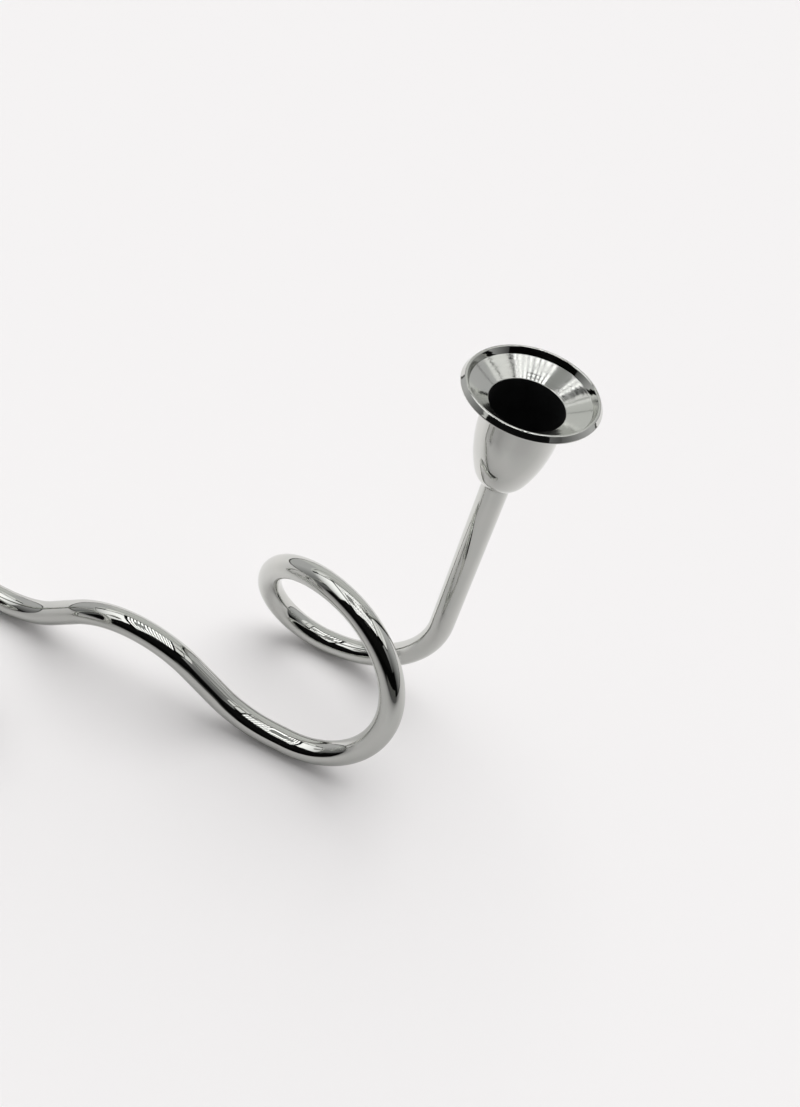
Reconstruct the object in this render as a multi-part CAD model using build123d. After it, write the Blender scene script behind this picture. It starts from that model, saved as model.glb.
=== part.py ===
"""Spiral candle holder: one bent tube with two standing loops and a wave between them, and two candle cups.

Millimetres, +Z up. The origin is on the table, under the middle of the wave.
The second half of the holder is the first half turned by half a turn about the vertical Z axis.
"""
from build123d import *
import math
import os

# Tube
TUBE_DIAMETER = 9.0
TUBE_WALL = 1.0

# Wave between the two loops, in the XZ plane
WAVE_RADIUS = 38.0
WAVE_SLOPE = 38.0
WAVE_RAMP = 14.0
FOOT_RUN = 6.0

# Standing loop, which opens like a spiral, and the way it carries the tube towards the back
LOOP_FOOT_RADIUS = 31.0
LOOP_RISE_RADIUS = 29.0
LOOP_CROWN_RADIUS = 35.0
LOOP_SHIFT = 48.0

# Stem
STEM_BEND_RADIUS = 41.0
STEM_TOP = 118.0

# Candle cup, a spun sheet
CUP_SHEET = 0.8
MOUTH_HEIGHT = 30.7
SOCKET_DIAMETER = 22.4
SOCKET_STRAIGHT = 7.5
MOUTH_ROUND = 0.5
DRIP_CONE_SLOPE = 29.7
NECK_ROUND = 1.5
BELL_SHOULDER = 5.3
BELL_SIDE_TURN = 21.0

# Rim of the cup, a ridge on the drip cone whose two steep flanks would meet at the crest
RIM_CREST_DIAMETER = 38.0
RIM_INNER_RUN = 1.2
RIM_RISE = 2.6
RIM_OUTER_RUN = 1.7
RIM_EDGE_DROP = 2.45
RIM_CREST_ROUND = 0.5
RIM_EDGE_ROUND = 0.4

# Screw, washer and plug that hold each cup
SCREW_DIAMETER = 4.0
SCREW_LENGTH = 12.0
SCREW_HEAD_DIAMETER = 7.0
SCREW_HEAD_HEIGHT = 2.6
SCREW_SLOT_WIDTH = 1.2
SCREW_SLOT_DEPTH = 1.2
WASHER_DIAMETER = 8.0
WASHER_THICKNESS = 0.5
PLUG_LENGTH = 14.0
HOLE_CLEARANCE = 0.2
THREAD_CLEARANCE = 0.05
PLUG_CLEARANCE = 0.05

# Sizes that follow from the ones above
TUBE_RADIUS = TUBE_DIAMETER / 2
BORE_RADIUS = TUBE_RADIUS - TUBE_WALL
SOCKET_RADIUS = SOCKET_DIAMETER / 2
SCREW_RADIUS = SCREW_DIAMETER / 2
LOOP_CLOSE_RADIUS = LOOP_FOOT_RADIUS + LOOP_RISE_RADIUS - LOOP_CROWN_RADIUS
LOOP_RADII = (LOOP_FOOT_RADIUS, LOOP_RISE_RADIUS, LOOP_CROWN_RADIUS, LOOP_CLOSE_RADIUS)
FULL_LOOP = sum(LOOP_RADII) * math.pi / 2


def loop_stations(start):
    """Points and directions at the ends of the loop's quarters, from the front foot to the back foot.

    Seen from the front each quarter is an arc of its own radius. Along the loop the tube moves back by
    LOOP_SHIFT, slowly at both feet and fastest at the top, as half a cosine wave of the length run.
    """
    stations = []
    x, z, run = start.X, start.Z, 0.0
    for quarter in range(len(LOOP_RADII) + 1):
        heading = quarter * math.pi / 2
        share = math.pi * run / FULL_LOOP
        y = start.Y + LOOP_SHIFT * (1 - math.cos(share)) / 2
        drift = LOOP_SHIFT * math.sin(share) / 2 * math.pi / FULL_LOOP
        direction = Vector(math.cos(heading), drift, math.sin(heading)).normalized()
        stations.append((Vector(x, y, z), direction))
        if quarter < len(LOOP_RADII):
            radius = LOOP_RADII[quarter]
            x += radius * (math.sin(heading + math.pi / 2) - math.sin(heading))
            z -= radius * (math.cos(heading + math.pi / 2) - math.cos(heading))
            run += radius * math.pi / 2
    return stations


def biarc(start, start_direction, end, end_direction):
    """Two arcs that meet smoothly and join two points with the given directions."""
    chord = end - start
    both = start_direction + end_direction
    spread = 2 * (1 - start_direction.dot(end_direction))
    lean = chord.dot(both)
    reach = (math.sqrt(lean * lean + spread * chord.dot(chord)) - lean) / spread
    before = start + start_direction * reach
    after = end - end_direction * reach
    middle = (before + after) * 0.5
    first = TangentArc(start, middle, tangent=start_direction)
    second = TangentArc(middle, end, tangent=(after - before).normalized())
    return [first, second]


def half_path():
    """Centre line of the right half, from the top of the wave to the top of the stem."""
    slope = math.radians(WAVE_SLOPE)
    arc_run = WAVE_RADIUS * math.sin(slope)
    arc_drop = WAVE_RADIUS * (1 - math.cos(slope))
    ramp_run = WAVE_RAMP * math.cos(slope)
    ramp_drop = WAVE_RAMP * math.sin(slope)
    crest = Vector(0, 0, TUBE_RADIUS + 2 * arc_drop + ramp_drop)
    ramp_top = crest + Vector(arc_run, 0, -arc_drop)
    ramp_foot = ramp_top + Vector(ramp_run, 0, -ramp_drop)
    valley = ramp_foot + Vector(arc_run, 0, -arc_drop)
    loop_start = valley + Vector(FOOT_RUN, 0, 0)

    edges = [
        TangentArc(crest, ramp_top, tangent=(1, 0, 0)),
        Line(ramp_top, ramp_foot),
        TangentArc(ramp_foot, valley, tangent=(ramp_foot - ramp_top).normalized()),
        Line(valley, loop_start),
    ]
    stations = loop_stations(loop_start)
    for (point, direction), (next_point, next_direction) in zip(stations, stations[1:]):
        edges += biarc(point, direction, next_point, next_direction)
    back_foot = stations[-1][0]
    stem_foot = back_foot + Vector(STEM_BEND_RADIUS, 0, STEM_BEND_RADIUS)
    stem_end = Vector(stem_foot.X, stem_foot.Y, STEM_TOP)
    edges.append(TangentArc(back_foot, stem_foot, tangent=(1, 0, 0)))
    edges.append(Line(stem_foot, stem_end))
    return edges, stem_end


def bent_tube(edges):
    """Tube of one wall thickness along the whole centre line, from stem end to stem end."""
    half = Wire(edges)
    path = Wire(edges + half.rotate(Axis.Z, 180).edges())
    ring = Circle(TUBE_RADIUS) - Circle(BORE_RADIUS)
    return sweep(Plane(origin=path @ 0, z_dir=path % 0) * ring, path=path)


def rim_ridge(foot):
    """Section of the cup's rim, a ridge that rises from its foot on the drip cone to a rounded crest and edge."""
    crest = foot + Vector(RIM_INNER_RUN, RIM_RISE)
    edge = crest + Vector(RIM_OUTER_RUN, -RIM_EDGE_DROP)
    sunk_foot = foot + (foot - crest).normalized() * (CUP_SHEET / 2)
    with BuildSketch(Plane.XZ) as ridge:
        with BuildLine():
            Polyline(sunk_foot, crest, edge, close=True)
        make_face()
        fillet(vertices().sort_by(Axis.Y)[-1], RIM_CREST_ROUND)
        fillet(vertices().sort_by(Axis.X)[-1], RIM_EDGE_ROUND)
    return ridge.sketch


def candle_cup():
    """Spun cup with a straight socket, a round bottom, a drip cone and a raised rim; its foot is at Z = 0."""
    cone_slope = math.radians(DRIP_CONE_SLOPE)
    cone_run = RIM_CREST_DIAMETER / 2 - SOCKET_RADIUS
    cone_end = (SOCKET_RADIUS + cone_run, MOUTH_HEIGHT + cone_run * math.tan(cone_slope))
    rim_foot = Vector(*cone_end) - Vector(1, math.tan(cone_slope)) * RIM_INNER_RUN
    neck = MOUTH_HEIGHT - MOUTH_ROUND * math.tan((math.pi / 2 - cone_slope) / 2) - SOCKET_STRAIGHT
    turn = math.radians(BELL_SIDE_TURN)
    side_radius = (neck - BELL_SHOULDER) / math.sin(turn)
    side_end = (SOCKET_RADIUS - side_radius * (1 - math.cos(turn)), BELL_SHOULDER)
    with BuildPart() as cup:
        with BuildSketch(Plane.XZ):
            with BuildLine():
                mouth = (SOCKET_RADIUS, MOUTH_HEIGHT)
                wall = FilletPolyline(cone_end, mouth, (SOCKET_RADIUS, neck), radius=MOUTH_ROUND)
                side = TangentArc(wall @ 1, side_end, tangent=wall % 1)
                bottom = TangentArc(side @ 1, (TUBE_RADIUS, CUP_SHEET), tangent=side % 1)
                Line(bottom @ 1, (SCREW_RADIUS + HOLE_CLEARANCE, CUP_SHEET))
                offset(amount=CUP_SHEET, side=Side.LEFT)
            make_face()
        revolve(axis=Axis.Z)
        round_edges = cup.edges().filter_by(GeomType.CIRCLE)
        neck_edges = round_edges.filter_by(lambda edge: math.isclose(edge.radius, SOCKET_RADIUS + CUP_SHEET))
        fillet(neck_edges.sort_by(Axis.Z)[-1], NECK_ROUND)
        add(revolve(rim_ridge(rim_foot), axis=Axis.Z, mode=Mode.PRIVATE))
    return cup.part


def cup_washer():
    """Flat washer on the floor of the cup."""
    ring = Circle(WASHER_DIAMETER / 2) - Circle(SCREW_RADIUS + HOLE_CLEARANCE)
    return Pos(0, 0, CUP_SHEET) * extrude(ring, WASHER_THICKNESS)


def cup_screw():
    """Slotted cheese-head screw, its head on the washer and its shank down in the plug."""
    head_seat = CUP_SHEET + WASHER_THICKNESS
    head = extrude(Circle(SCREW_HEAD_DIAMETER / 2), SCREW_HEAD_HEIGHT)
    slot = Pos(0, 0, SCREW_HEAD_HEIGHT - SCREW_SLOT_DEPTH / 2) * Box(
        SCREW_HEAD_DIAMETER, SCREW_SLOT_WIDTH, SCREW_SLOT_DEPTH
    )
    shank = extrude(Circle(SCREW_RADIUS), -SCREW_LENGTH)
    return Pos(0, 0, head_seat) * (head - slot + shank)


def end_plug():
    """Tapped plug fixed in the end of the tube, flush with it."""
    ring = Circle(BORE_RADIUS - PLUG_CLEARANCE) - Circle(SCREW_RADIUS + THREAD_CLEARANCE)
    return extrude(ring, -PLUG_LENGTH)


def main():
    edges, stem_end = half_path()
    right = Pos(*stem_end)
    left = Rot(0, 0, 180) * right
    parts = {"bent_tube": bent_tube(edges)}
    for side, place in (("right", right), ("left", left)):
        parts[f"candle_cup_{side}"] = place * candle_cup()
        parts[f"cup_washer_{side}"] = place * cup_washer()
        parts[f"cup_screw_{side}"] = place * cup_screw()
        parts[f"end_plug_{side}"] = place * end_plug()
    os.makedirs("parts", exist_ok=True)
    for name, part in parts.items():
        export_step(part, f"parts/{name}.step")


main()
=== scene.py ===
"""Spiral candle holder: one chrome tube bent into a wave and two standing loops, a spun cup on each stem.

Metres, +Z up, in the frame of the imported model. The left half is the right half turned by half a turn
about the vertical axis through the middle of the wave.
"""
import math
import bpy
import numpy as np
from mathutils import Matrix


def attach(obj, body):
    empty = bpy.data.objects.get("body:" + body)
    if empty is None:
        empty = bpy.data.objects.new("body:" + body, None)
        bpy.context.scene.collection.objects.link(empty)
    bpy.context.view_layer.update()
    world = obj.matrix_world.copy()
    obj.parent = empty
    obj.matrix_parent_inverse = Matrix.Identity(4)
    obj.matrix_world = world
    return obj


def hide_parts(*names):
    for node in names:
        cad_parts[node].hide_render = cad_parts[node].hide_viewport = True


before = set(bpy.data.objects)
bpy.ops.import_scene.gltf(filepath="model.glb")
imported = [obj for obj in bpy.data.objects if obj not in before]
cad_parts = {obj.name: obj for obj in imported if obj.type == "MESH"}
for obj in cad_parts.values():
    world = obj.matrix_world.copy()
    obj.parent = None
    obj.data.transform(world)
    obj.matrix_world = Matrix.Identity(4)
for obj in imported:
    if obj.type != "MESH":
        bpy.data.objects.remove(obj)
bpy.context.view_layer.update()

MM = 0.001
BODY = "root"

# Tube, in millimetres
TUBE_RADIUS = 4.5
BORE_RADIUS = 3.5
WAVE_RADIUS = 38.0
WAVE_SLOPE = math.radians(38.0)
WAVE_RAMP = 14.0
FOOT_RUN = 6.0
LOOP_RADII = (31.0, 29.0, 35.0, 25.0)
LOOP_SHIFT = 48.0
STEM_BEND_RADIUS = 41.0
STEM_TOP = 118.0
TUBE_EDGE_ROUND = 0.2

# Cup, in millimetres, with its heights above its foot
CUP_SHEET = 0.8
MOUTH_HEIGHT = 30.7
SOCKET_RADIUS = 11.2
SOCKET_STRAIGHT = 7.5
MOUTH_ROUND = 0.5
NECK_ROUND = 1.5
DRIP_CONE_SLOPE = math.radians(29.7)
RIM_CREST_RADIUS = 19.0
RIM_INNER_RUN = 1.2
RIM_RISE = 2.6
RIM_OUTER_RUN = 1.7
RIM_EDGE_DROP = 2.45
RIM_CREST_ROUND = 0.5
RIM_EDGE_ROUND = 0.4
CREASE_ROUND = 0.12
BELL_SHOULDER = 5.3
BELL_SIDE_TURN = math.radians(21.0)
SCREW_HOLE_RADIUS = 2.2

# Points along each stretch of the cup's profile, and the material slots of its finishes
FLOOR_POINTS = 4
INNER_BOTTOM_POINTS = 12
INNER_SIDE_POINTS = 14
CORNER_POINTS = 9
SIDE_POINTS = 10
OUTER_SIDE_POINTS = 20
OUTER_BOTTOM_POINTS = 14
FOOT_ROUND_POINTS = 5
BELL_SLOT, SOCKET_SLOT, CONE_SLOT, RIM_SLOT = 0, 1, 2, 3

# Patterns of the finishes, in metres
POLISH_PITCH = 0.6 * MM
RING_PITCH = 1.0 * MM
HAZE_PITCH = 8.0 * MM
BLOTCH_PITCH = 4.0 * MM
MARK_PITCH = 0.4 * MM
MARK_DEPTH = 0.1 * MM
SMOOTH_SKIN = {"waver_pitch": 11.0 * MM, "waver_depth": 0.05 * MM, "ring_depth": 0.001 * MM}
RINGED_SKIN = {"waver_pitch": 6.0 * MM, "waver_depth": 0.06 * MM, "ring_depth": 0.014 * MM}

# Haze times streak in the clearest and the haziest patches of the chrome
CLEAR_PATCH, HAZY_PATCH = 0.12, 0.42

# Scales that stretch a pattern along the tube or round the cup, on the UV map, and upright or level elsewhere
ALONG_TUBE = (0.05, 1, 1)
ROUND_CUP = (1, 0.05, 1)
UPRIGHT_MARKS = (1, 1, 0.1)
LEVEL_MARKS = (0.1, 0.1, 1)

# Camera, in metres and degrees, with its lens and sensor in millimetres
CAMERA_PLACE = (0.11496, -0.16648, 0.30764)
CAMERA_HEADING = 10.668
CAMERA_TILT = 42.544
CAMERA_ROLL = 17.024
CAMERA_LENS = 30.453
SENSOR_WIDTH = 36.0
CAMERA_NEAR = 0.01
HEADING = math.radians(CAMERA_HEADING)
TO_RIGHT = np.array([math.cos(HEADING), math.sin(HEADING), 0.0])
TO_BACK = np.array([-math.sin(HEADING), math.cos(HEADING), 0.0])
UP = np.array([0.0, 0.0, 1.0])

# Studio, in metres and degrees; a share of light is 1 where a white floor looks white
BACKGROUND = "#F5F3F3"
ROOM_LIGHT = (0.4, 1.6)
LAMP_SHARE = 0.4
LAMP_TILT = 25.0
LAMP_SOFTNESS = 56.0
FLOOR_REACH = 4.0
FLOOR_GRID = 3
FLOOR_HEIGHT = -0.1 * MM
SHADE_GRID = 9
SHADE_HEIGHT = -0.05 * MM
SHADE_CORE = 0.06
CARD_GRID = (25, 49)


def linear(hex_colour):
    """Linear RGBA of an sRGB hex colour, by the sRGB formula."""
    srgb = np.array([int(hex_colour[i:i + 2], 16) for i in (1, 3, 5)]) / 255
    rgb = np.where(srgb <= 0.04045, srgb / 12.92, ((srgb + 0.055) / 1.055) ** 2.4)
    return (*rgb.tolist(), 1.0)


def add(tree, kind, inputs=None, **settings):
    """Adds a node with its settings; each input takes a value, or another node's output."""
    node = tree.nodes.new(kind)
    for name, value in settings.items():
        setattr(node, name, value)
    for socket, value in (inputs or {}).items():
        if isinstance(value, bpy.types.NodeSocket):
            tree.links.new(value, node.inputs[socket])
        else:
            node.inputs[socket].default_value = value
    return node


def new_material(name):
    """An empty material with its node tree and output."""
    material = bpy.data.materials.new(name)
    material.use_nodes = True
    tree = material.node_tree
    tree.nodes.clear()
    return material, tree, tree.nodes.new("ShaderNodeOutputMaterial")


def grid_mesh(name, points, uv, wrap_rows, wrap_columns, row_material=None):
    """A mesh on a grid of points: four neighbours make a face, and a wrapped direction closes on itself.

    points is rows x columns x 3 in metres. uv holds the same grid, one row and column longer where it wraps,
    in metres along the surface. row_material gives the material slot of each row of faces.
    """
    rows, columns = points.shape[:2]
    face_rows = rows if wrap_rows else rows - 1
    face_columns = columns if wrap_columns else columns - 1
    i, j = np.meshgrid(np.arange(face_rows), np.arange(face_columns), indexing="ij")
    corners = ((i, j), (i, j + 1), (i + 1, j + 1), (i + 1, j))
    loops = np.stack([(a % rows) * columns + b % columns for a, b in corners], -1).reshape(-1)
    loop_uv = np.stack([uv[a, b] for a, b in corners], 2).reshape(-1)
    count = face_rows * face_columns
    mesh = bpy.data.meshes.new(name)
    mesh.vertices.add(rows * columns)
    mesh.vertices.foreach_set("co", points.reshape(-1).astype(np.float32))
    mesh.loops.add(count * 4)
    mesh.loops.foreach_set("vertex_index", loops.astype(np.int32))
    mesh.polygons.add(count)
    mesh.polygons.foreach_set("loop_start", np.arange(0, count * 4, 4, dtype=np.int32))
    mesh.polygons.foreach_set("use_smooth", np.ones(count, bool))
    if row_material is not None:
        mesh.polygons.foreach_set("material_index", np.repeat(row_material, face_columns).astype(np.int32))
    mesh.update(calc_edges=True)
    mesh.uv_layers.new(name="surface").data.foreach_set("uv", loop_uv.astype(np.float32))
    piece = bpy.data.objects.new(name, mesh)
    bpy.context.scene.collection.objects.link(piece)
    return piece


# Centre line of the tube: how sharply each of its stretches turns, and their lengths, from the crest outwards

TURNS = np.array([
    -1 / WAVE_RADIUS, 0, 1 / WAVE_RADIUS, 0, *(1 / radius for radius in LOOP_RADII), 1 / STEM_BEND_RADIUS, 0,
])
LENGTHS = np.array([
    WAVE_RADIUS * WAVE_SLOPE, WAVE_RAMP, WAVE_RADIUS * WAVE_SLOPE, FOOT_RUN,
    *(radius * math.pi / 2 for radius in LOOP_RADII),
    STEM_BEND_RADIUS * math.pi / 2, STEM_TOP - TUBE_RADIUS - STEM_BEND_RADIUS,
])
LOOP_FIRST, LOOP_LAST = 4, 7
ENDS = np.cumsum(LENGTHS)
STARTS = ENDS - LENGTHS
HALF_RUN = ENDS[-1]
LOOP_START = STARTS[LOOP_FIRST]
LOOP_LENGTH = ENDS[LOOP_LAST] - LOOP_START
CREST = TUBE_RADIUS + 2 * WAVE_RADIUS * (1 - math.cos(WAVE_SLOPE)) + WAVE_RAMP * math.sin(WAVE_SLOPE)


def stretch_steps(run, turn, heading):
    """Forward and upward step of a stretch that turns at a constant rate, seen from the front.

    Its chord is run times sin(a)/a, where a is half the angle turned, and points along the middle heading.
    """
    half = turn * run / 2
    chord = run * np.sinc(half / np.pi)
    return chord * np.cos(heading + half), chord * np.sin(heading + half)


def centre_line(run):
    """Points and unit directions of the tube at runs from the crest of the wave, to the right where positive.

    Seen from the front the line is arcs and straight stretches, each from where the last one ends. Along the
    loop the line also moves back by half a cosine wave of the run. The left half is turned by half a turn.
    """
    away = np.abs(run)
    headings = np.cumsum(TURNS * LENGTHS) - TURNS * LENGTHS
    steps = np.stack(stretch_steps(LENGTHS, TURNS, headings))
    starts = np.cumsum(steps, 1) - steps
    k = np.clip(np.searchsorted(ENDS, away), 0, len(ENDS) - 1)
    part = away - STARTS[k]
    step_x, step_z = stretch_steps(part, TURNS[k], headings[k])
    heading = headings[k] + TURNS[k] * part
    share = np.pi * np.clip((away - LOOP_START) / LOOP_LENGTH, 0, 1)
    back = LOOP_SHIFT * (1 - np.cos(share)) / 2
    drift = LOOP_SHIFT * np.sin(share) / 2 * np.pi / LOOP_LENGTH
    side = np.where(run < 0, -1.0, 1.0)
    points = np.stack([side * (starts[0, k] + step_x), side * back, CREST + starts[1, k] + step_z], -1)
    along = np.stack([np.cos(heading), drift, side * np.sin(heading)], -1)
    return points, along / np.linalg.norm(along, axis=1, keepdims=True)


def bent_tube(name, skin_rows=780, bore_rows=120, columns=96, edge_rows=4):
    """Tube skin, rounded end edges and bore as one closed surface.

    A ring stands square to the centre line at each run. Its radius is the tube's along the skin, a quarter
    circle at both ends, and the bore's on the way back.
    """
    quarter = np.linspace(0, np.pi / 2, edge_rows + 1)
    edge_run = TUBE_EDGE_ROUND * (1 - np.sin(quarter[::-1]))
    edge_radius = TUBE_RADIUS - TUBE_EDGE_ROUND * (1 - np.cos(quarter[::-1]))
    skin = np.linspace(-HALF_RUN + TUBE_EDGE_ROUND, HALF_RUN - TUBE_EDGE_ROUND, skin_rows)[1:-1]
    bore = np.linspace(HALF_RUN, -HALF_RUN, bore_rows)
    run = np.concatenate([edge_run - HALF_RUN, skin, (HALF_RUN - edge_run)[::-1], bore])
    radius = np.concatenate([
        edge_radius, np.full(len(skin), TUBE_RADIUS), edge_radius[::-1], np.full(bore_rows, BORE_RADIUS),
    ])
    centre, along = centre_line(run)
    across = np.array([0.0, 1.0, 0.0]) - along[:, 1:2] * along
    across /= np.linalg.norm(across, axis=1, keepdims=True)
    upward = np.cross(across, along)
    angle = np.linspace(0, 2 * np.pi, columns + 1)
    ring = np.cos(angle)[None, :, None] * across[:, None] + np.sin(angle)[None, :, None] * upward[:, None]
    points = centre[:, None] + radius[:, None, None] * ring
    run = np.append(run, run[0])
    uv = np.stack(np.broadcast_arrays(run[:, None], TUBE_RADIUS * angle[None, :]), -1)
    return grid_mesh(name, points[:, :-1] * MM, uv * MM, True, True)


# Candle cups

def arc(centre, radius, start, end, count):
    """Points of an arc in the profile plane, from one angle to another."""
    angle = np.linspace(start, end, count)
    return np.stack([centre[0] + radius * np.cos(angle), centre[1] + radius * np.sin(angle)], -1)


def line(start, end, count):
    """Points along a straight line in the profile plane, closer together at its ends, without the end points.

    Their shares of the way follow half a cosine wave.
    """
    share = (1 - np.cos(np.linspace(0, np.pi, count + 2)[1:-1])) / 2
    return np.array(start) + share[:, None] * (np.array(end) - np.array(start))


def rounded(points, radii, corner_count, side_count):
    """A bent line in the profile plane with its inner corners rounded.

    At a corner an arc touches both sides. Its centre lies on the corner's bisector, and the spoke to the
    first touching point turns by the same angle as the line does. The straight sides between get points of
    their own.
    """
    points = np.array(points, float)
    steps = np.diff(points, axis=0)
    steps /= np.linalg.norm(steps, axis=1, keepdims=True)
    path = [points[:1]]
    for corner, before, after, radius in zip(points[1:-1], steps, steps[1:], radii):
        turn = math.atan2(before[0] * after[1] - before[1] * after[0], before @ after)
        touch = corner - before * radius * math.tan(abs(turn) / 2)
        spoke = math.copysign(radius, turn) * np.array([before[1], -before[0]])
        angle = np.linspace(0, turn, corner_count)[:, None]
        turned = np.cos(angle) * spoke + np.sin(angle) * np.array([-spoke[1], spoke[0]])
        path += [line(path[-1][-1], touch, side_count), touch - spoke + turned]
    path += [line(path[-1][-1], points[-1], side_count), points[-1:]]
    return np.concatenate(path)


def cup_profile():
    """Closed profile of the cup as radius and height, and the numbers of its points where the finish changes.

    It runs from the screw hole over the floor, the round bottom and the bell's side up the straight socket,
    over the drip cone and the ridge of the rim, and back down one sheet thickness outside. The finish changes
    at the mouth, where the cone meets the rim, and under the rim.
    """
    neck = MOUTH_HEIGHT - MOUTH_ROUND * math.tan((math.pi / 2 - DRIP_CONE_SLOPE) / 2) - SOCKET_STRAIGHT
    side_radius = (neck - BELL_SHOULDER) / math.sin(BELL_SIDE_TURN)
    side_centre = np.array([SOCKET_RADIUS - side_radius, neck])
    outward = np.array([math.cos(BELL_SIDE_TURN), -math.sin(BELL_SIDE_TURN)])
    shoulder = side_centre + side_radius * outward
    floor_edge = np.array([TUBE_RADIUS, CUP_SHEET])
    chord = floor_edge - shoulder
    bottom_radius = (chord @ chord) / (-2 * chord @ outward)
    bottom_centre = shoulder - bottom_radius * outward
    bottom_end = math.atan2(*(floor_edge - bottom_centre)[::-1])

    up_cone = np.array([math.cos(DRIP_CONE_SLOPE), math.sin(DRIP_CONE_SLOPE)])
    under_cone = CUP_SHEET * np.array([up_cone[1], -up_cone[0]])
    mouth_corner = np.array([SOCKET_RADIUS, MOUTH_HEIGHT])
    rim_foot = mouth_corner + up_cone * (RIM_CREST_RADIUS - RIM_INNER_RUN - SOCKET_RADIUS) / up_cone[0]
    crest = rim_foot + np.array([RIM_INNER_RUN, RIM_RISE])
    edge = crest + np.array([RIM_OUTER_RUN, -RIM_EDGE_DROP])
    flank = (rim_foot - crest) / np.linalg.norm(rim_foot - crest)
    base = rim_foot + flank * CUP_SHEET / 2 - edge
    gap = edge - rim_foot - under_cone
    share = (gap[1] * up_cone[0] - gap[0] * up_cone[1]) / (base[0] * up_cone[1] - base[1] * up_cone[0])
    rim_base = edge + base * share
    outer_radius = SOCKET_RADIUS + CUP_SHEET
    neck_corner = rim_base + up_cone * (outer_radius - rim_base[0]) / up_cone[0]

    socket = np.concatenate([
        [[SCREW_HOLE_RADIUS, CUP_SHEET]],
        line((SCREW_HOLE_RADIUS, CUP_SHEET), floor_edge, FLOOR_POINTS),
        arc(bottom_centre, bottom_radius, bottom_end, -BELL_SIDE_TURN, INNER_BOTTOM_POINTS)[:-1],
        arc(side_centre, side_radius, -BELL_SIDE_TURN, 0, INNER_SIDE_POINTS)[:-1],
    ])
    corners = [mouth_corner, rim_foot, crest, edge, rim_base, neck_corner]
    rounds = [MOUTH_ROUND, CREASE_ROUND, RIM_CREST_ROUND, RIM_EDGE_ROUND, CREASE_ROUND, NECK_ROUND]
    rim = rounded(
        [(SOCKET_RADIUS, neck), *corners, (outer_radius, neck)], rounds, CORNER_POINTS, SIDE_POINTS,
    )
    outside = np.concatenate([
        arc(side_centre, side_radius + CUP_SHEET, 0, -BELL_SIDE_TURN, OUTER_SIDE_POINTS)[1:],
        arc(bottom_centre, bottom_radius + CUP_SHEET, -BELL_SIDE_TURN, bottom_end, OUTER_BOTTOM_POINTS)[1:],
        arc(floor_edge, CUP_SHEET, bottom_end, -math.pi / 2, FOOT_ROUND_POINTS)[1:],
        [[SCREW_HOLE_RADIUS, 0.0]],
    ])
    # The mouth, the rim's foot and the rim's base are these corners of the bent line
    finish_corners = np.array([0, 1, 4])
    first_corner_middle = len(socket) + 1 + SIDE_POINTS + CORNER_POINTS // 2
    finish_rows = first_corner_middle + finish_corners * (SIDE_POINTS + CORNER_POINTS)
    return np.concatenate([socket, rim, outside]), finish_rows


def spun_cup(name, side, columns=192):
    """Cup with its foot on a stem's end: the profile turned about the stem's axis, one closed surface."""
    profile, finish_rows = cup_profile()
    foot = centre_line(np.array([side * HALF_RUN]))[0][0]
    angle = np.linspace(0, 2 * np.pi, columns + 1)
    radius, height = profile[:, 0, None], profile[:, 1, None]
    points = foot + np.stack(
        np.broadcast_arrays(radius * np.cos(angle), radius * np.sin(angle), height), -1
    )
    ring = np.concatenate([profile, profile[:1]])
    run = np.concatenate([[0.0], np.cumsum(np.linalg.norm(np.diff(ring, axis=0), axis=1))])
    uv = np.stack(np.broadcast_arrays(run[:, None], SOCKET_RADIUS * angle[None, :]), -1)
    slots = np.array([SOCKET_SLOT, CONE_SLOT, RIM_SLOT, BELL_SLOT])
    row_material = slots[np.searchsorted(finish_rows, np.arange(len(profile)), side="right")]
    return grid_mesh(name, points[:, :-1] * MM, uv * MM, True, True, row_material)


# Materials

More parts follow.
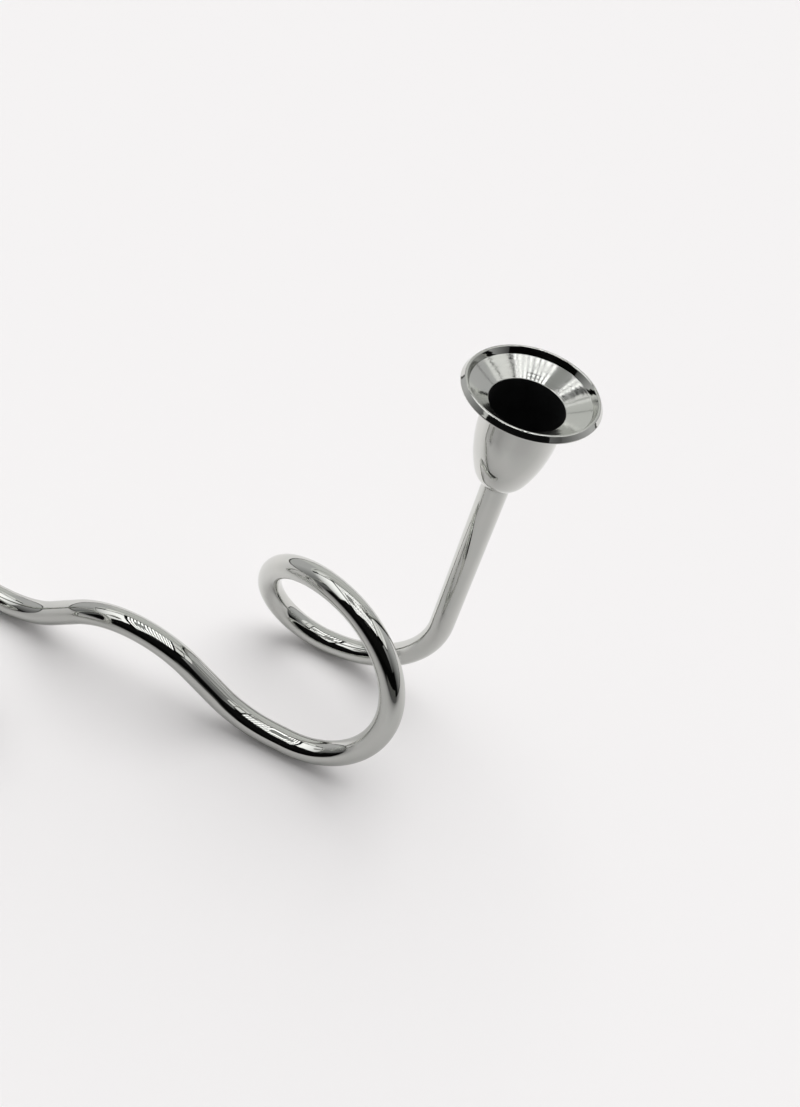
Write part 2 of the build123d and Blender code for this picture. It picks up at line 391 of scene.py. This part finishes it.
def chrome(name, line_run, waver_pitch, waver_depth, ring_depth, brightest=0.02, dullest=0.07):
    """Bright chrome plating over polished steel: a clear, nearly neutral mirror.

    The eye gets sharp reflections that waver a little, haze in patches and, close up, the lines that the
    polishing wheel left, drawn POLISH_PITCH apart to show. line_run is the scale of the UV map that stretches
    these lines along one axis. Rings that the spinning or bending roller left lie about RING_PITCH apart
    along its first axis. brightest and dullest are the roughness of the clearest and the haziest patches.
    """
    material, tree, output = new_material(name)
    place = add(tree, "ShaderNodeTexCoord")
    haze = add(tree, "ShaderNodeTexNoise", {
        "Vector": place.outputs["Object"], "Scale": 1 / HAZE_PITCH, "Detail": 3.0,
    })
    lines = add(tree, "ShaderNodeMapping", {"Vector": place.outputs["UV"], "Scale": line_run})
    streak = add(tree, "ShaderNodeTexNoise", {
        "Vector": lines.outputs["Vector"], "Scale": 1 / POLISH_PITCH, "Detail": 2.0,
    })
    both = add(tree, "ShaderNodeMath", {
        0: haze.outputs["Fac"], 1: streak.outputs["Fac"],
    }, operation="MULTIPLY")
    rough = add(tree, "ShaderNodeMapRange", {
        "Value": both.outputs["Value"], "From Min": CLEAR_PATCH, "From Max": HAZY_PATCH,
        "To Min": brightest, "To Max": dullest,
    })
    waver = add(tree, "ShaderNodeTexNoise", {
        "Vector": place.outputs["Object"], "Scale": 1 / waver_pitch, "Detail": 1.0,
    })
    wavy = add(tree, "ShaderNodeBump", {"Height": waver.outputs["Fac"], "Distance": waver_depth})
    along = add(tree, "ShaderNodeMapping", {"Vector": place.outputs["UV"], "Scale": (1, 0, 0)})
    rings = add(tree, "ShaderNodeTexNoise", {
        "Vector": along.outputs["Vector"], "Scale": 1 / RING_PITCH, "Detail": 0.0,
    })
    bump = add(tree, "ShaderNodeBump", {
        "Height": rings.outputs["Fac"], "Distance": ring_depth, "Normal": wavy.outputs["Normal"],
    })
    tint = add(tree, "ShaderNodeMix", {
        "Factor": haze.outputs["Fac"], "A": linear("#CFD1CD"), "B": linear("#D8D8D4"),
    }, data_type="RGBA")
    shader = add(tree, "ShaderNodeBsdfPrincipled", {
        "Base Color": tint.outputs["Result"], "Metallic": 1.0, "Roughness": rough.outputs["Result"],
        "Normal": bump.outputs["Normal"],
    })
    tree.links.new(shader.outputs["BSDF"], output.inputs["Surface"])
    return material


def dark_dull_socket():
    """Inside of the socket: near black, dull and blotched."""
    material, tree, output = new_material("dark_dull_socket")
    place = add(tree, "ShaderNodeTexCoord")
    blotch = add(tree, "ShaderNodeTexNoise", {
        "Vector": place.outputs["Object"], "Scale": 1 / BLOTCH_PITCH, "Detail": 4.0,
    })
    colour = add(tree, "ShaderNodeMix", {
        "Factor": blotch.outputs["Fac"], "A": linear("#09090A"), "B": linear("#1E1F20"),
    }, data_type="RGBA")
    rough = add(tree, "ShaderNodeMapRange", {"Value": blotch.outputs["Fac"], "To Min": 0.38, "To Max": 0.62})
    shader = add(tree, "ShaderNodeBsdfPrincipled", {
        "Base Color": colour.outputs["Result"], "Roughness": rough.outputs["Result"],
    })
    tree.links.new(shader.outputs["BSDF"], output.inputs["Surface"])
    return material


def worked_metal(name, dark, light, smoothest, roughest, mark_run):
    """Machined metal with fine tool marks: noise stretched along the marks changes its tone, gloss and level.

    The marks of about 0.1 mm are drawn four times as coarse, MARK_PITCH apart, so that they show.
    """
    material, tree, output = new_material(name)
    place = add(tree, "ShaderNodeTexCoord")
    lines = add(tree, "ShaderNodeMapping", {"Vector": place.outputs["Object"], "Scale": mark_run})
    marks = add(tree, "ShaderNodeTexNoise", {
        "Vector": lines.outputs["Vector"], "Scale": 1 / MARK_PITCH, "Detail": 3.0,
    })
    colour = add(tree, "ShaderNodeMix", {
        "Factor": marks.outputs["Fac"], "A": linear(dark), "B": linear(light),
    }, data_type="RGBA")
    rough = add(tree, "ShaderNodeMapRange", {
        "Value": marks.outputs["Fac"], "To Min": smoothest, "To Max": roughest,
    })
    bump = add(tree, "ShaderNodeBump", {
        "Height": marks.outputs["Fac"], "Strength": 0.2, "Distance": MARK_DEPTH,
    })
    shader = add(tree, "ShaderNodeBsdfPrincipled", {
        "Base Color": colour.outputs["Result"], "Metallic": 1.0, "Roughness": rough.outputs["Result"],
        "Normal": bump.outputs["Normal"],
    })
    tree.links.new(shader.outputs["BSDF"], output.inputs["Surface"])
    return material


def pale_board():
    """Matt pale board under the object: one even tone that takes a soft shadow."""
    material, tree, output = new_material("pale_board")
    shader = add(tree, "ShaderNodeBsdfDiffuse", {"Color": linear(BACKGROUND)})
    tree.links.new(shader.outputs["BSDF"], output.inputs["Surface"])
    return material


def glow(name, colour, strength=1.0):
    """Even light from a lamp panel, or nearly none from a dark cloth."""
    material, tree, output = new_material(name)
    shader = add(tree, "ShaderNodeEmission", {"Color": linear(colour), "Strength": strength})
    tree.links.new(shader.outputs["Emission"], output.inputs["Surface"])
    return material


def fading(name, direction, start, end, start_light, end_light):
    """Light from a wall or window that changes evenly along a direction, between two places on it."""
    material, tree, output = new_material(name)
    place = add(tree, "ShaderNodeTexCoord")
    along = add(tree, "ShaderNodeVectorMath", {
        0: place.outputs["Object"], 1: direction,
    }, operation="DOT_PRODUCT")
    light = add(tree, "ShaderNodeMapRange", {
        "Value": along.outputs["Value"], "From Min": start, "From Max": end,
        "To Min": start_light, "To Max": end_light,
    })
    shader = add(tree, "ShaderNodeEmission", {"Strength": light.outputs["Result"]})
    tree.links.new(shader.outputs["Emission"], output.inputs["Surface"])
    return material


def table_shade():
    """A clear sheet of painted shade on the table, seen only in reflections: a little to the front, more with
    distance, most to the left.

    The clearness is a value that falls from back to front, times two that fall with the distance ahead of the
    object, a slow one everywhere and a quick one at the left. How far back or right a point lies is taken as
    a share of its distance plus SHADE_CORE, so the shade changes softly with bearing.
    """
    material, tree, output = new_material("table_shade")
    place = add(tree, "ShaderNodeTexCoord").outputs["Object"]
    away = add(tree, "ShaderNodeVectorMath", {0: place}, operation="LENGTH").outputs["Value"]
    reach = add(tree, "ShaderNodeMath", {0: away, 1: SHADE_CORE}, operation="ADD").outputs["Value"]
    shares = []
    for direction in (TO_BACK, TO_RIGHT):
        step = add(tree, "ShaderNodeVectorMath", {0: place, 1: direction}, operation="DOT_PRODUCT")
        share = add(tree, "ShaderNodeMath", {0: step.outputs["Value"], 1: reach}, operation="DIVIDE")
        shares.append(share.outputs["Value"])
    backward, rightward = shares
    along = {}
    for name, measure, start, end, start_value, end_value in (
        ("front", backward, -0.1, 0.5, 0.68, 1.0),
        ("ahead", backward, -0.12, -0.6, 0.0, 1.0),
        ("left", rightward, 0.4, -0.1, 0.0, 0.3),
        ("quick", away, 0.04, 0.11, 0.0, 1.0),
        ("slow", away, 0.14, 0.5, 0.0, 0.85),
    ):
        along[name] = add(tree, "ShaderNodeMapRange", {
            "Value": measure, "From Min": start, "From Max": end, "To Min": start_value, "To Max": end_value,
        }).outputs["Result"]
    clear = along["front"]
    for first, *others in (("quick", "left", "ahead"), ("slow", "ahead")):
        shade = along[first]
        for name in others:
            product = add(tree, "ShaderNodeMath", {0: shade, 1: along[name]}, operation="MULTIPLY")
            shade = product.outputs["Value"]
        rest = add(tree, "ShaderNodeMath", {0: 1.0, 1: shade}, operation="SUBTRACT")
        product = add(tree, "ShaderNodeMath", {0: clear, 1: rest.outputs["Value"]}, operation="MULTIPLY")
        clear = product.outputs["Value"]
    shader = add(tree, "ShaderNodeBsdfTransparent", {"Color": clear})
    tree.links.new(shader.outputs["BSDF"], output.inputs["Surface"])
    return material


# Pieces

tube = bent_tube("polished_tube")
tube.data.materials.append(chrome("chrome_on_tube", ALONG_TUBE, **SMOOTH_SKIN))
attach(tube, BODY)
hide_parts("bent_tube")

bell_chrome = chrome("chrome_on_bell", ROUND_CUP, **SMOOTH_SKIN)
cone_chrome = chrome("chrome_on_drip_cone", ROUND_CUP, **RINGED_SKIN, brightest=0.07, dullest=0.19)
rim_chrome = chrome("chrome_on_rim", ROUND_CUP, **RINGED_SKIN)
# The inside of the socket is drawn near black and dull
socket_inside = dark_dull_socket()
cup_finishes = {
    BELL_SLOT: bell_chrome, SOCKET_SLOT: socket_inside, CONE_SLOT: cone_chrome, RIM_SLOT: rim_chrome,
}
for side_name, side in (("right", 1), ("left", -1)):
    cup = spun_cup(f"spun_cup_{side_name}", side)
    for slot in sorted(cup_finishes):
        cup.data.materials.append(cup_finishes[slot])
    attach(cup, BODY)
    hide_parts(f"candle_cup_{side_name}")

steel = worked_metal(
    "zinc_plated_steel", "#8E9193", "#B4B6B5", smoothest=0.28, roughest=0.44, mark_run=UPRIGHT_MARKS,
)
brass = worked_metal(
    "turned_brass", "#A27C39", "#C29C55", smoothest=0.22, roughest=0.38, mark_run=LEVEL_MARKS,
)
for side_name in ("right", "left"):
    for node, finish in (("cup_screw", steel), ("cup_washer", steel), ("end_plug", brass)):
        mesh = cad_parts[f"{node}_{side_name}"].data
        mesh.materials.clear()
        mesh.materials.append(finish)


# Studio cards

def card(name, points, material):
    """A card on a grid of points that only reflections see."""
    piece = grid_mesh(name, points, np.zeros((*points.shape[:2], 2)), False, False)
    piece.data.materials.append(material)
    piece.visible_camera = False
    piece.visible_diffuse = False
    piece.visible_transmission = False
    piece.visible_shadow = False


def bearing(azimuth):
    """Level directions at azimuths from the camera's side, in degrees to the right."""
    turn = np.radians(azimuth)[..., None]
    return np.sin(turn) * TO_RIGHT - np.cos(turn) * TO_BACK


def curved_card(name, radius, azimuth, elevation, material):
    """Part of a sphere round the object between two azimuths and two elevations."""
    rows, columns = CARD_GRID
    flat = bearing(np.linspace(*azimuth, columns))[None, :]
    rise = np.radians(np.linspace(*elevation, rows))[:, None, None]
    card(name, radius * (np.cos(rise) * flat + np.sin(rise) * UP), material)


def level_panel(name, height, rights, backs, material):
    """A level panel at a height, between places to the right and to the back.

    rights and backs are either one list each, or grids of places, where they differ by row or by column.
    """
    rights = np.array(rights)
    backs = np.array(backs)
    if rights.ndim == 1:
        rights = np.broadcast_to(rights, (len(backs), len(rights)))
    if backs.ndim == 1:
        backs = np.broadcast_to(backs[:, None], rights.shape)
    card(name, rights[..., None] * TO_RIGHT + backs[..., None] * TO_BACK + height * UP, material)


lamp_white = glow("lamp_white", "#FFFFFF", strength=2.0)
ceiling_white = glow("ceiling_white", "#FAFAF8")
dim_panel = glow("dim_panel", "#9C9D9B")
dark_cloth = glow("dark_cloth", "#060606")
soft_cloth = glow("soft_cloth", "#101010")
front_dim = glow("front_dim", "#565654")
far_paint = glow("far_paint", "#D1D2CF")
wall_paint = fading("wall_paint", TO_BACK, start=-0.8, end=0.6, start_light=0.08, end_light=0.52)
corner_paint = fading("corner_paint", UP, start=0.6, end=1.45, start_light=0.06, end_light=0.42)
window_light = fading("window_light", TO_RIGHT, start=-0.75, end=-2.1, start_light=1.42, end_light=0.5)

# A lamp with a louvre of small cells hangs overhead, in four rows. A dim panel takes the place of a few.
# Cells of about 50 mm are drawn wider to show. A louvre has depth, so its cells narrow away from the middle,
# where they are seen from the side. The near row starts further forward towards the left.
LOUVRE_HEIGHT = 1.2
LOUVRE_SIDES = (-0.52, 0.58)
LOUVRE_CELLS = 13
NEAR_ROW = (-0.53, -0.20)
NEAR_ROW_SLANT = 0.65
MIDDLE_ROWS = {"middle_near": (-0.165, -0.05), "middle": (-0.036, 0.20)}
FAR_ROW = (0.24, 0.66)
HALF_CELL_SHARE = 0.34
CELL_NARROWING = 0.10
DIM_SIDES = (-0.345, -0.10)
DIM_BACKS = (-0.19, 0.22)
CEILING_HEIGHT = LOUVRE_HEIGHT + 0.02

cell = (LOUVRE_SIDES[1] - LOUVRE_SIDES[0]) / LOUVRE_CELLS
for number in range(LOUVRE_CELLS):
    middle = LOUVRE_SIDES[0] + cell * (number + 0.5)
    rows = {"near": (NEAR_ROW[0] + NEAR_ROW_SLANT * min(middle, 0), NEAR_ROW[1]), "far": FAR_ROW}
    if not DIM_SIDES[0] < middle < DIM_SIDES[1]:
        rows |= MIDDLE_ROWS
    for row, backs in rows.items():
        half_widths = cell * (HALF_CELL_SHARE - CELL_NARROWING * np.abs(backs))
        rights = middle + half_widths[:, None] * np.array([-1, 1])
        level_panel(f"louvre_cell_{row}_{number}", LOUVRE_HEIGHT, rights, backs, lamp_white)

for name, height, rights, backs, material in (
    ("louvre_dim", LOUVRE_HEIGHT, DIM_SIDES, DIM_BACKS, dim_panel),
    ("window_left", LOUVRE_HEIGHT, (-1.92, -0.60), ((-1.2, -0.58), (0.54, 0.54)), window_light),
    ("window_left_back", LOUVRE_HEIGHT, (-1.3, -0.62), (0.62, 1.05), ceiling_white),
    ("window_right", LOUVRE_HEIGHT, (0.65, 0.96), (-0.36, 0.8), ceiling_white),
    ("window_right_far", LOUVRE_HEIGHT, (1.0, 1.44), (-0.36, 0.8), ceiling_white),
    ("ceiling", CEILING_HEIGHT, (-2.0, 1.5), (-0.74, 0.78), dark_cloth),
):
    level_panel(name, height, rights, backs, material)

for name, radius, azimuth, elevation, material in (
    ("far_walls", 3.5, (0, 360), (-1, 90), far_paint),
    ("camera_side_cloth", 1.6, (-62, 60), (-5, 22), dark_cloth),
    ("camera_side_cloth_above", 1.6, (-54, 48), (22, 58), soft_cloth),
    ("camera_side_corner", 1.65, (46, 66), (18, 58), corner_paint),
    ("table_front", 1.55, (0, 44), (-5, 6), front_dim),
    ("wall_left", 1.7, (-150, -50), (-1, 30), wall_paint),
    ("wall_right", 1.7, (48, 150), (-1, 40), wall_paint),
    ("table_edge", 1.6, (66, 290), (-2, 2.2), front_dim),
    ("far_rail_0", 1.6, (128, 232), (33, 34), front_dim),
    ("far_rail_1", 1.6, (128, 232), (47, 48.2), front_dim),
    ("far_rail_2", 1.6, (128, 232), (57, 58), front_dim),
):
    curved_card(name, radius, azimuth, elevation, material)

# Painted shade: a clear sheet darkens the table as reflections see it
shade_places = np.linspace(-FLOOR_REACH, FLOOR_REACH, SHADE_GRID)
level_panel("table_shade", SHADE_HEIGHT, shade_places, shade_places, table_shade())


# Floor, room light, lamp and camera

def studio_world():
    """Room light that grows from the front to the back, in whose place the eye and mirrors see the backdrop.

    The lamp gives LAMP_SHARE of the light, so the room gives that much less.
    """
    world = bpy.data.worlds.new("studio")
    world.use_nodes = True
    tree = world.node_tree
    tree.nodes.clear()
    path = add(tree, "ShaderNodeLightPath")
    seen = path.outputs["Is Camera Ray"]
    for ray in ("Is Glossy Ray", "Is Transmission Ray"):
        either = add(tree, "ShaderNodeMath", {0: seen, 1: path.outputs[ray]}, operation="ADD", use_clamp=True)
        seen = either.outputs["Value"]
    place = add(tree, "ShaderNodeTexCoord")
    depth = add(tree, "ShaderNodeVectorMath", {
        0: place.outputs["Generated"], 1: TO_BACK,
    }, operation="DOT_PRODUCT")
    light = add(tree, "ShaderNodeMapRange", {
        "Value": depth.outputs["Value"], "From Min": -1.0, "From Max": 1.0,
        "To Min": ROOM_LIGHT[0] - LAMP_SHARE, "To Max": ROOM_LIGHT[1] - LAMP_SHARE,
    })
    room = add(tree, "ShaderNodeBackground", {
        "Color": linear("#FFFFFF"), "Strength": light.outputs["Result"],
    })
    backdrop = add(tree, "ShaderNodeBackground", {"Color": linear(BACKGROUND), "Strength": 1.0})
    shown = add(tree, "ShaderNodeMixShader", {
        0: seen, 1: room.outputs["Background"], 2: backdrop.outputs["Background"],
    })
    add(tree, "ShaderNodeOutputWorld", {"Surface": shown.outputs["Shader"]})
    return world


def soft_lamp(name):
    """A far soft lamp, tilted from overhead towards the back, that gives LAMP_SHARE of the floor's light."""
    tilt = math.radians(LAMP_TILT)
    lamp = bpy.data.lights.new(name, "SUN")
    lamp.angle = math.radians(LAMP_SOFTNESS)
    lamp.energy = LAMP_SHARE * math.pi / math.cos(tilt)
    piece = bpy.data.objects.new(name, lamp)
    piece.rotation_euler = (-tilt, 0, 0)
    piece.visible_glossy = False
    bpy.context.scene.collection.objects.link(piece)


floor_places = np.linspace(-FLOOR_REACH, FLOOR_REACH, FLOOR_GRID)
floor_points = np.stack(np.meshgrid(floor_places, floor_places, FLOOR_HEIGHT), -1)[:, :, 0]
floor = grid_mesh("floor", floor_points, np.zeros((FLOOR_GRID, FLOOR_GRID, 2)), False, False)
floor.data.materials.append(pale_board())
bpy.context.scene.world = studio_world()
soft_lamp("top_lamp")

camera = bpy.data.cameras.new("camera")
camera.lens = CAMERA_LENS
camera.sensor_width = SENSOR_WIDTH
camera.clip_start = CAMERA_NEAR
view = bpy.data.objects.new("camera", camera)
turned = (
    Matrix.Rotation(math.radians(CAMERA_HEADING), 4, "Z")
    @ Matrix.Rotation(math.radians(CAMERA_TILT), 4, "X")
    @ Matrix.Rotation(math.radians(CAMERA_ROLL), 4, "Z")
)
view.matrix_world = Matrix.Translation(CAMERA_PLACE) @ turned
bpy.context.scene.collection.objects.link(view)
bpy.context.scene.camera = view
bpy.context.scene.view_settings.view_transform = "Standard"
